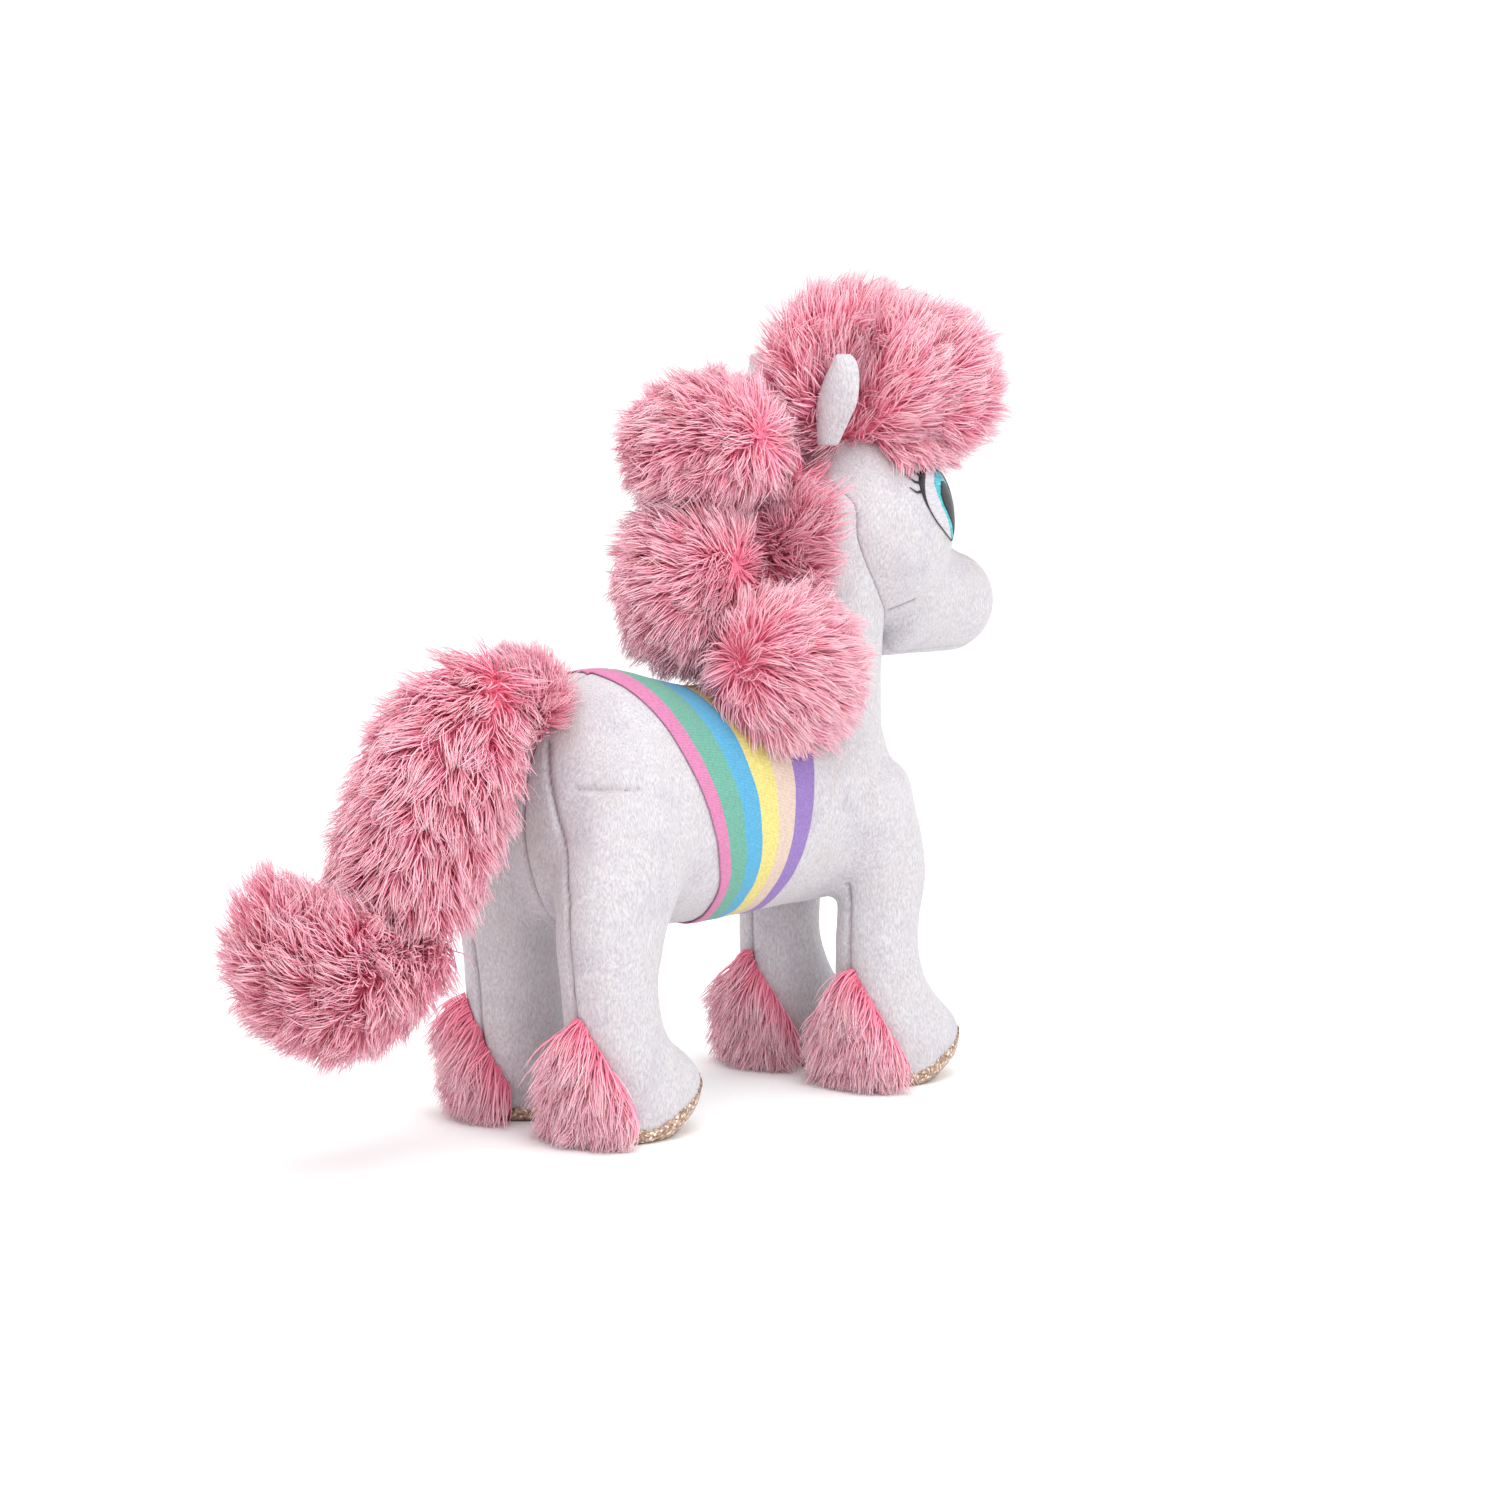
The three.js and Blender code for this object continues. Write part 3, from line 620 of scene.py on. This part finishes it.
# White, iris and pupil from their bottom point to their top, in millimetres: (up, rear edge, front edge).
EYE_WHITE = [(-7, 4.2, 5.0), (-4, -2.0, 6.8), (0, -8.2, 9.0), (5, -12.2, 10.4), (10, -13.3, 10.6),
             (14, -12.6, 9.8), (17.5, -10.2, 8.0), (20.5, -6.6, 5.2), (22.8, -2.9, 1.5)]
EYE_IRIS = [(-6.2, 4.4, 5.6), (-3, 2.0, 7.0), (1, -0.6, 8.4), (5.5, -4.0, 8.8), (10, -5.9, 8.8),
            (14.4, -5.6, 8.0), (17.5, -2.8, 6.2), (19.3, 1.1, 4.0)]
EYE_PUPIL = [(-4.6, 5.0, 6.2), (-1, 3.0, 7.2), (3, -0.6, 7.8), (7, -3.4, 7.8), (10.5, -3.9, 7.2),
             (13.2, -2.2, 5.8), (15, 0.1, 3.8)]


def stitched_line(name, turn, points, widths, proud, material, replaced):
    """A stitched line through (across, up) points, with its width at each."""
    count = 4 * len(points)
    bm = bmesh.new()
    bmesh.ops.create_grid(bm, x_segments=2, y_segments=count, size=0.5)
    path = np.array([(a, u, w) for (a, u), w in zip(points, widths)], float)
    for v in bm.verts:
        t = v.co.y + 0.5
        a, u, w = spline(path, t)
        step = spline(path, min(t + 0.02, 1))[:2] - spline(path, max(t - 0.02, 0))[:2]
        step /= np.linalg.norm(step)
        side = v.co.x * w
        crown = 0.3 * (1 - (2 * v.co.x) ** 2)
        v.co = on_cheek(turn, a - step[1] * side, u + step[0] * side, proud + crown)
    finish_stitches(name, bm, turn, material, replaced)


LASHES = [((-10.6, 17.4), (-12.6, 18.8), (-13.6, 22.4)), ((-11.9, 15.2), (-15.0, 15.6), (-17.2, 18.4)),
          ((-12.9, 12.6), (-16.0, 11.8), (-18.2, 13.6))]
REAR_WIDTHS = [0.3, 0.3, 0.35, 0.5, 1.3, 2.2, 2.4, 1.7, 1.0]
FRONT_WIDTHS = [0.3, 0.3, 0.3, 0.3, 0.4, 0.5, 0.6, 0.8, 1.0]
LASH_WIDTHS = (1.1, 0.8, 0.3)
LASH_PROUD = 0.5
for side, turn in SIDES:
    stitched(f"eye_white_{side}_thread", turn, EYE_WHITE, 0.25, white_thread, [f"eye_white_{side}"])
    stitched(f"eye_iris_{side}_thread", turn, EYE_IRIS, 0.6, teal_thread, [f"eye_iris_{side}"])
    stitched(f"eye_pupil_{side}_thread", turn, EYE_PUPIL, 0.95, black_thread, [f"eye_pupil_{side}"])
    rear_edge = [(row[1], row[0]) for row in EYE_WHITE]
    front_edge = [(row[2], row[0]) for row in EYE_WHITE]
    stitched_line(f"eye_rear_line_{side}", turn, rear_edge, REAR_WIDTHS, LASH_PROUD, black_thread,
                  [f"eye_lash_line_{side}"])
    stitched_line(f"eye_front_line_{side}", turn, front_edge, FRONT_WIDTHS, LASH_PROUD, black_thread, [])
    for k, lash in enumerate(LASHES):
        stitched_line(f"eye_lash_{k + 1}_{side}", turn, lash, LASH_WIDTHS, LASH_PROUD, black_thread, [])

# ---------------------------------------------------------------- horn
# A slim cone of the same glitter cloth, stuffed and wound with thread so that it swells in turns.
# It stands on the forehead in a parting of the forelock and leans forward.
HORN_ROOT = (0, -110 + FEET_MIDDLE, 226)
HORN_HEIGHT = 52
HORN_RADIUS = 8.5
HORN_LEAN = 0.2
HORN_TURNS = 5
PARTING = 10                       # half the gap in the forelock where the horn stands

bm = bmesh.new()
bmesh.ops.create_cone(bm, cap_ends=True, cap_tris=True, segments=32, radius1=HORN_RADIUS * MM,
                      radius2=1.2 * MM, depth=HORN_HEIGHT * MM)
rings = [e for e in bm.edges if abs(e.verts[0].co.z - e.verts[1].co.z) > 0.04]
bmesh.ops.subdivide_edges(bm, edges=rings, cuts=48, use_grid_fill=True)
for v in bm.verts:
    up = v.co.z / (HORN_HEIGHT * MM) + 0.5
    winding = math.atan2(v.co.y, v.co.x) / (2 * math.pi) + up * HORN_TURNS
    swell = 0.90 + 0.13 * abs(math.sin(math.pi * winding)) ** 0.6
    v.co.x *= swell
    v.co.y *= swell
    v.co.z += HORN_HEIGHT * MM / 2
bmesh.ops.transform(bm, verts=bm.verts, matrix=Matrix.Translation(Vector(HORN_ROOT) * MM)
                    @ Matrix.Rotation(HORN_LEAN, 4, "X"))
finish_piece(made("horn_cloth", bm), glitter, "body", ["horn_skin", "horn_filling"])

# ---------------------------------------------------------------- long pink fur
# Forelock, mane, tail and fetlock tufts are long-pile polyester fur on a knitted backing, in pink with
# paler tips. The pile is brushed into locks that part and point away from where each piece is sewn on.
FIBRE_SIDES = 3
FIBRE_POINTS = 5
FUR_MAP = "OFBake"                 # across: the lock's own shade; up: from root to tip

# Polyester fur pile, crimped and brushed: low gloss, darker at the roots and paler towards the tips, with a
# pink sheen at the fibres' edges that stands for the light they pass on.
fur, tree, shader, _ = start_material(
    "long_pile_fur_brushed", Roughness=0.55, **{"Specular_IOR_Level": 0.15, "Sheen_Weight": 0.8,
                                                "Sheen_Roughness": 0.6, "Sheen_Tint": (1, 0.22, 0.38, 1)})
strand = node(tree, "SeparateXYZ", Vector=node(tree, "UVMap", {"uv_map": FUR_MAP}).outputs[0]).outputs
pink = ramp(tree, strand[1], [(0.0, "#fa88a4"), (0.25, "#ff9cb4"), (0.6, "#ffb8ca"), (1.0, "#ffe4ee")])
pale = ramp(tree, strand[1], [(0.0, "#fc94a9"), (0.4, "#ffc0ca"), (0.8, "#ffe2de"), (1.0, "#fff5ee")])
lilac = ramp(tree, strand[1], [(0.0, "#f884b0"), (0.4, "#ffb2d2"), (1.0, "#ffe0f2")])
pale_share = ramp(tree, strand[0], [(0.5, "#000000"), (0.85, "#ffffff")])
lilac_share = ramp(tree, strand[0], [(0.84, "#000000"), (0.92, "#cccccc")])
lock_colour = mixed(tree, lilac_share, mixed(tree, pale_share, pink, pale), lilac)
tree.links.new(lock_colour, shader.inputs["Base Color"])

section = bpy.data.curves.new("fibre_section", "CURVE")
section.dimensions = "2D"
triangle = section.splines.new("POLY")
triangle.points.add(FIBRE_SIDES - 1)
triangle.use_cyclic_u = True
for k in range(FIBRE_SIDES):
    angle = 2 * math.pi * k / FIBRE_SIDES
    triangle.points[k].co = (math.cos(angle), 0.4 * math.sin(angle), 0, 1)
section_object = new_object("fibre_section", section)


def unit(vectors):
    return vectors / np.maximum(np.linalg.norm(vectors, axis=-1, keepdims=True), 1e-9)


REACH = 20 * MM                    # how deep in the plush a fibre's point is still looked for


def kept_outside(points, margin):
    """Moves points that lie in the head or the body out to just above the plush."""
    for tree in (head_tree, body_tree):
        for point in points:
            near, normal, _, _ = tree.find_nearest(Vector(point), REACH)
            if near is not None and (Vector(point) - near).dot(normal) < margin:
                point[:] = near + normal * margin
    return points


def backing(node_name, shrink=1.0, voxel=2.6, shift=(0, 0, 0)):
    """The fur's knitted backing: the CAD solid, rounded off and drawn in from the tips of the pile."""
    bm = bmesh.new()
    bm.from_mesh(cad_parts[node_name].data)
    bmesh.ops.remove_doubles(bm, verts=bm.verts, dist=1e-6)
    middle = sum((v.co for v in bm.verts), Vector()) / len(bm.verts)
    bmesh.ops.scale(bm, vec=(shrink,) * 3, verts=bm.verts, space=Matrix.Translation(-middle))
    bmesh.ops.translate(bm, vec=Vector(shift) * MM, verts=bm.verts)
    return felted(bm, voxel * MM, 6, 0)


def scatter(mesh, count, rng):
    """Roots spread evenly over the mesh, with the surface's normals there."""
    mesh.calc_loop_triangles()
    corners = np.empty(len(mesh.loop_triangles) * 3, np.int32)
    mesh.loop_triangles.foreach_get("vertices", corners)
    corners = corners.reshape(-1, 3)
    places, normals = read(mesh), read_normals(mesh)
    a, b, c = (places[corners[:, k]] for k in range(3))
    area = np.linalg.norm(np.cross(b - a, c - a), axis=1)
    chosen = rng.choice(len(corners), count, p=area / area.sum())
    weights = rng.dirichlet((1, 1, 1), count)
    roots = (places[corners[chosen]] * weights[:, :, None]).sum(1)
    return roots, unit((normals[corners[chosen]] * weights[:, :, None]).sum(1))


def parted_hide(hide, keep):
    """The backing without the faces that are not kept."""
    bm = bmesh.new()
    bm.from_mesh(hide)
    centres = np.array([f.calc_center_median() for f in bm.faces]) / MM
    gone = [f for f, kept in zip(bm.faces[:], keep(centres)) if not kept]
    bmesh.ops.delete(bm, geom=gone, context="FACES")
    bm.to_mesh(hide)
    bm.free()
    return hide


LOCK_FIBRES = 16                   # fibres that hang together in one brushed lock


def fur_piece(name, body, hide, count, length, flow, lift=(0.6, 0.25), droop=0.15, width=0.56, clump=0.8,
              seed=1, replaced=(), keep=None):
    """Long pile on the hide. flow gives the way the pile is brushed; lift is how far it stands up at the
    root and at the tip; lengths and widths are in millimetres."""
    rng = np.random.default_rng(seed)
    roots, normals = scatter(hide, count, rng)
    if keep is not None:
        kept = keep(roots / MM)
        roots, normals = roots[kept], normals[kept]
        hide = parted_hide(hide, keep)
    count = len(roots)
    lean = flow(roots / MM)
    lean = unit(lean - normals * (lean * normals).sum(1, keepdims=True) * 0.7)
    loose = rng.normal(0, 0.16, (count, 3))
    start = unit(normals * lift[0] + lean * (1 - lift[0]) + loose)
    end = unit(normals * lift[1] + lean * (1 - lift[1]) + loose * 1.5 + np.array([0, 0, -droop]))
    reach = length * MM * rng.uniform(0.72, 1.12, count)[:, None]
    steps = np.linspace(0, 1, FIBRE_POINTS)
    lines = np.stack([roots + reach * (s * start + s * s / 2 * (end - start)) for s in steps], axis=1)
    # brushed locks: each fibre bends towards the middle fibre of its lock
    leaders = rng.choice(count, max(count // LOCK_FIBRES, 1), replace=False)
    nearest = np.empty(count, int)
    for first in range(0, count, 500):
        gap = roots[first:first + 500, None, :] - roots[None, leaders, :]
        nearest[first:first + 500] = leaders[(gap ** 2).sum(2).argmin(1)]
    pull = clump * steps[None, :, None] ** 1.6 * rng.uniform(0.5, 1.0, (count, 1, 1))
    lines += (lines[nearest] - lines) * pull
    lines = kept_outside(lines.reshape(-1, 3), 0.5 * MM).reshape(count, FIBRE_POINTS, 3)
    lines[:, :, 2] = np.maximum(lines[:, :, 2], 0.6 * MM)
    shade = 0.5 + 0.22 * rng.normal(0, 1, count) + 0.18 * rng.normal(0, 1, count)[nearest]
    shade = np.clip(shade, 0.02, 0.98)
    radius = width * MM * rng.uniform(0.7, 1.15, count)[:, None] * (1.0 - 0.86 * steps[None, :] ** 1.5)
    curve = bpy.data.curves.new(name, "CURVE")
    curve.dimensions = "3D"
    curve.bevel_mode = "OBJECT"
    curve.bevel_object = section_object
    tilts = rng.uniform(0, 6.28, count)
    for line, size, tilt in zip(lines, radius, tilts):
        fibre = curve.splines.new("POLY")
        fibre.points.add(FIBRE_POINTS - 1)
        fibre.points.foreach_set("co", np.c_[line, np.ones(FIBRE_POINTS)].ravel())
        fibre.points.foreach_set("radius", size)
        fibre.points.foreach_set("tilt", np.full(FIBRE_POINTS, tilt))
    fibres = baked(new_object(name, curve))
    uv_of = np.empty((count, FIBRE_POINTS, FIBRE_SIDES, 2))
    uv_of[..., 0] = shade[:, None, None] + np.array([-0.015, 0, 0.015])
    uv_of[..., 1] = steps[None, :, None]
    write_map(fibres, uv_of.reshape(-1, 2))
    knots = len(hide.vertices)
    write_map(hide, np.stack([rng.uniform(0.1, 0.5, knots), rng.uniform(0.0, 0.12, knots)], 1))
    bm = bmesh.new()
    bm.from_mesh(fibres)
    bm.from_mesh(hide)
    bpy.data.meshes.remove(fibres)
    finish_piece(made(name, bm), fur, body, replaced)


def write_map(mesh, values):
    """Gives the mesh a UV map with one place for each vertex."""
    while mesh.uv_layers:
        mesh.uv_layers.remove(mesh.uv_layers[0])
    corner = np.empty(len(mesh.loops), np.int32)
    mesh.loops.foreach_get("vertex_index", corner)
    mesh.uv_layers.new(name=FUR_MAP).data.foreach_set("uv", values[corner].ravel())


def away_from(x, y, z, mirror=True):
    """Pile brushed away from a point, and from its mirror image on the other side."""
    def flow(points):
        centre = np.tile(np.array([x, y, z], float), (len(points), 1))
        if mirror:
            centre[:, 0] = abs(x) * np.tanh(points[:, 0] / 8)
        return unit(points - centre)
    return flow


def down_the(stations, out=0.3):
    """Pile brushed down a tail along its stations, standing out from its core."""
    line = np.array([spline(stations, t) for t in np.linspace(0, 1, 24)]) + (0, FEET_MIDDLE, 0)
    heading = unit(np.gradient(line, axis=0))

    def flow(points):
        near = ((points[:, None, :] - line[None]) ** 2).sum(2).argmin(1)
        return unit(heading[near] + out * unit(points - line[near]))
    return flow


def clear_of_horn(points):
    """Whether points lie outside the parting in which the horn stands, open to the front."""
    ahead = HORN_ROOT[1] - HORN_LEAN * (points[:, 2] - HORN_ROOT[2]) - points[:, 1]
    return np.hypot(points[:, 0], np.minimum(ahead, 0)) > PARTING


def sewn_patch(form, belongs):
    """The backing of fur that lies flat on the plush: a patch of the form's own skin."""
    patch = cut_out(form, "patch", belongs, 0.6)
    mesh = patch.data
    bpy.data.objects.remove(patch)
    return mesh


def under_forelock(c):
    return c[2] > 233 and -142 < c[1] < -104


def on_crest(c):
    """The back of the neck, between the mane's locks."""
    return 165 < c[2] < 216 and abs(c[0]) < 17 and c[1] > -82


fur_piece("fur_forelock_crown", "body", backing("forelock_crown", 0.86, shift=(0, -3, 0)), 7400, 17,
          away_from(8, -98, 240), lift=(0.5, 0.22), seed=1, replaced=["forelock_crown"])
fur_piece("fur_forelock_fringe", "body", backing("forelock_fringe", 0.95, shift=(0, 4, 7)), 6600, 17,
          away_from(8, -112, 246), lift=(0.5, 0.22), seed=2, droop=0.15, replaced=["forelock_fringe"],
          keep=clear_of_horn)
fur_piece("fur_forelock_brow", "body", sewn_patch(head_form, under_forelock), 3400, 14,
          away_from(4, -104, 262), lift=(0.45, 0.2), seed=10, droop=0.2, keep=clear_of_horn)
fur_piece("fur_mane_upper", "mane_upper", backing("mane_lock_upper", 0.82), 6200, 17,
          away_from(25, -50, 244), lift=(0.5, 0.22), seed=3, replaced=["mane_lock_upper"])
fur_piece("fur_mane_middle", "mane_middle", backing("mane_lock_middle", 0.82), 6200, 17,
          away_from(24, -36, 196), lift=(0.5, 0.22), seed=4, replaced=["mane_lock_middle"])
fur_piece("fur_mane_lower", "mane_lower", backing("mane_lock_lower", 0.82), 6200, 17,
          away_from(-28, -25, 163, mirror=False), lift=(0.5, 0.22), seed=5, replaced=["mane_lock_lower"])
fur_piece("fur_mane_strip", "body", backing("mane_crest_strip", 1.0, 1.2), 4200, 20,
          away_from(0, -90, 200), lift=(0.8, 0.5), seed=6, replaced=["mane_crest_strip"])
fur_piece("fur_mane_neck", "body", sewn_patch(body_form, on_crest), 3600, 19,
          away_from(0, -62, 195), lift=(0.6, 0.3), seed=11)

TAIL = [(0, 99, 150), (0, 110, 136), (0, 120, 117), (0, 129, 98)]
TIP = [(0, 147, 71), (0, 167, 66), (0, 184, 75), (0, 193, 90)]
fur_piece("fur_tail_dock", "tail_dock", backing("tail_dock", 0.9, 1.6, (0, 2, 2)), 2600, 16,
          away_from(0, 40, 130), seed=7, replaced=["tail_dock"])
fur_piece("fur_tail_upper", "tail", backing("tail_upper_filling", 1.12, shift=(0, 4, 4)), 7800, 18,
          down_the(TAIL), lift=(0.62, 0.3), seed=8, replaced=["tail_upper", "tail_upper_filling"])
fur_piece("fur_tail_tip", "tail_tip", backing("tail_tip_filling", 1.14, shift=(0, -7, 1)), 7800, 18,
          down_the(TIP), lift=(0.62, 0.3), seed=9, replaced=["tail_tip", "tail_tip_filling"])

TUFT_TOP = 45
TUFT_FOOT = 12
TUFT_SPREAD = 54                   # degrees to each side of the tuft's middle, at its foot
TUFT_TURN = 4                      # degrees that a tuft's middle is turned outwards from straight back
TURNED_TUFT = ("hind_left", 26)    # one tuft is sewn on further round
for number, (name, turn, leg_y) in enumerate(FEET):
    tuft_turn = TURNED_TUFT[1] if name == TURNED_TUFT[0] else TUFT_TURN

    def on_fetlock(c, turn=turn, leg_y=leg_y, tuft_turn=tuft_turn):
        outward, back = c[0] * turn - LEG_X, c[1] - (leg_y + FEET_MIDDLE - 6)
        if c[0] * turn < 0 or abs(back) > 30 or not TUFT_FOOT < c[2] < TUFT_TOP:
            return False
        bearing = math.degrees(math.atan2(outward, back)) - tuft_turn
        return abs(bearing) < TUFT_SPREAD * (TUFT_TOP + 3 - c[2]) / (TUFT_TOP - TUFT_FOOT)

    fur_piece(f"fur_fetlock_{name}", "body", sewn_patch(body_form, on_fetlock), 2300, 21,
              away_from(turn * LEG_X, leg_y + FEET_MIDDLE + 6, TUFT_TOP + 12, mirror=False),
              lift=(0.6, 0.35), droop=0.35, seed=20 + number, replaced=[f"fetlock_tuft_{name}"])
bpy.data.objects.remove(section_object)

# ---------------------------------------------------------------- floor, light and camera
# A white studio sweep in soft overhead light, seen from behind the right hip at hip height.
bm = bmesh.new()
bmesh.ops.create_grid(bm, x_segments=1, y_segments=1, size=6)
floor = made("floor", bm, smooth=False)
paint, tree, shader, _ = start_material("studio_floor_painted", Roughness=0.9)
shader.inputs["Base Color"].default_value = linear("#ffffff")
floor.data.materials.append(paint)

world = bpy.data.worlds.new("studio")
bpy.context.scene.world = world
world.use_nodes = True
world.node_tree.nodes["Background"].inputs["Color"].default_value = (1, 1, 1, 1)
world.node_tree.nodes["Background"].inputs["Strength"].default_value = 1.1


def softbox(name, place, aim, size, power):
    lamp = bpy.data.lights.new(name, "AREA")
    lamp.shape = "DISK"
    lamp.size = size
    lamp.energy = power
    stand = bpy.data.objects.new(name, lamp)
    stand.location = place
    stand.rotation_euler = (Vector(aim) - Vector(place)).to_track_quat("-Z", "Y").to_euler()
    bpy.context.scene.collection.objects.link(stand)


softbox("overhead", (-0.3, 0.3, 1.5), (0, 0, 0.1), 1.2, 11)
softbox("camera_side", (-1.3, 0.2, 0.8), (0, 0, 0.12), 0.8, 5)

VIEW_TURN = math.radians(226)
VIEW_RISE = math.radians(7)
VIEW_AIM = Vector((-0.0136, -0.0422, 0.129))
VIEW_DISTANCE = 1.288
lens = bpy.data.cameras.new("camera")
lens.lens = 85
lens.sensor_width = 36
camera = bpy.data.objects.new("camera", lens)
away = Vector((math.sin(VIEW_TURN), -math.cos(VIEW_TURN), 0)) * math.cos(VIEW_RISE)
away.z = math.sin(VIEW_RISE)
camera.location = VIEW_AIM + VIEW_DISTANCE * away
camera.rotation_euler = (VIEW_AIM - camera.location).to_track_quat("-Z", "Y").to_euler()
bpy.context.scene.collection.objects.link(camera)
bpy.context.scene.camera = camera
bpy.context.scene.view_settings.view_transform = "Standard"
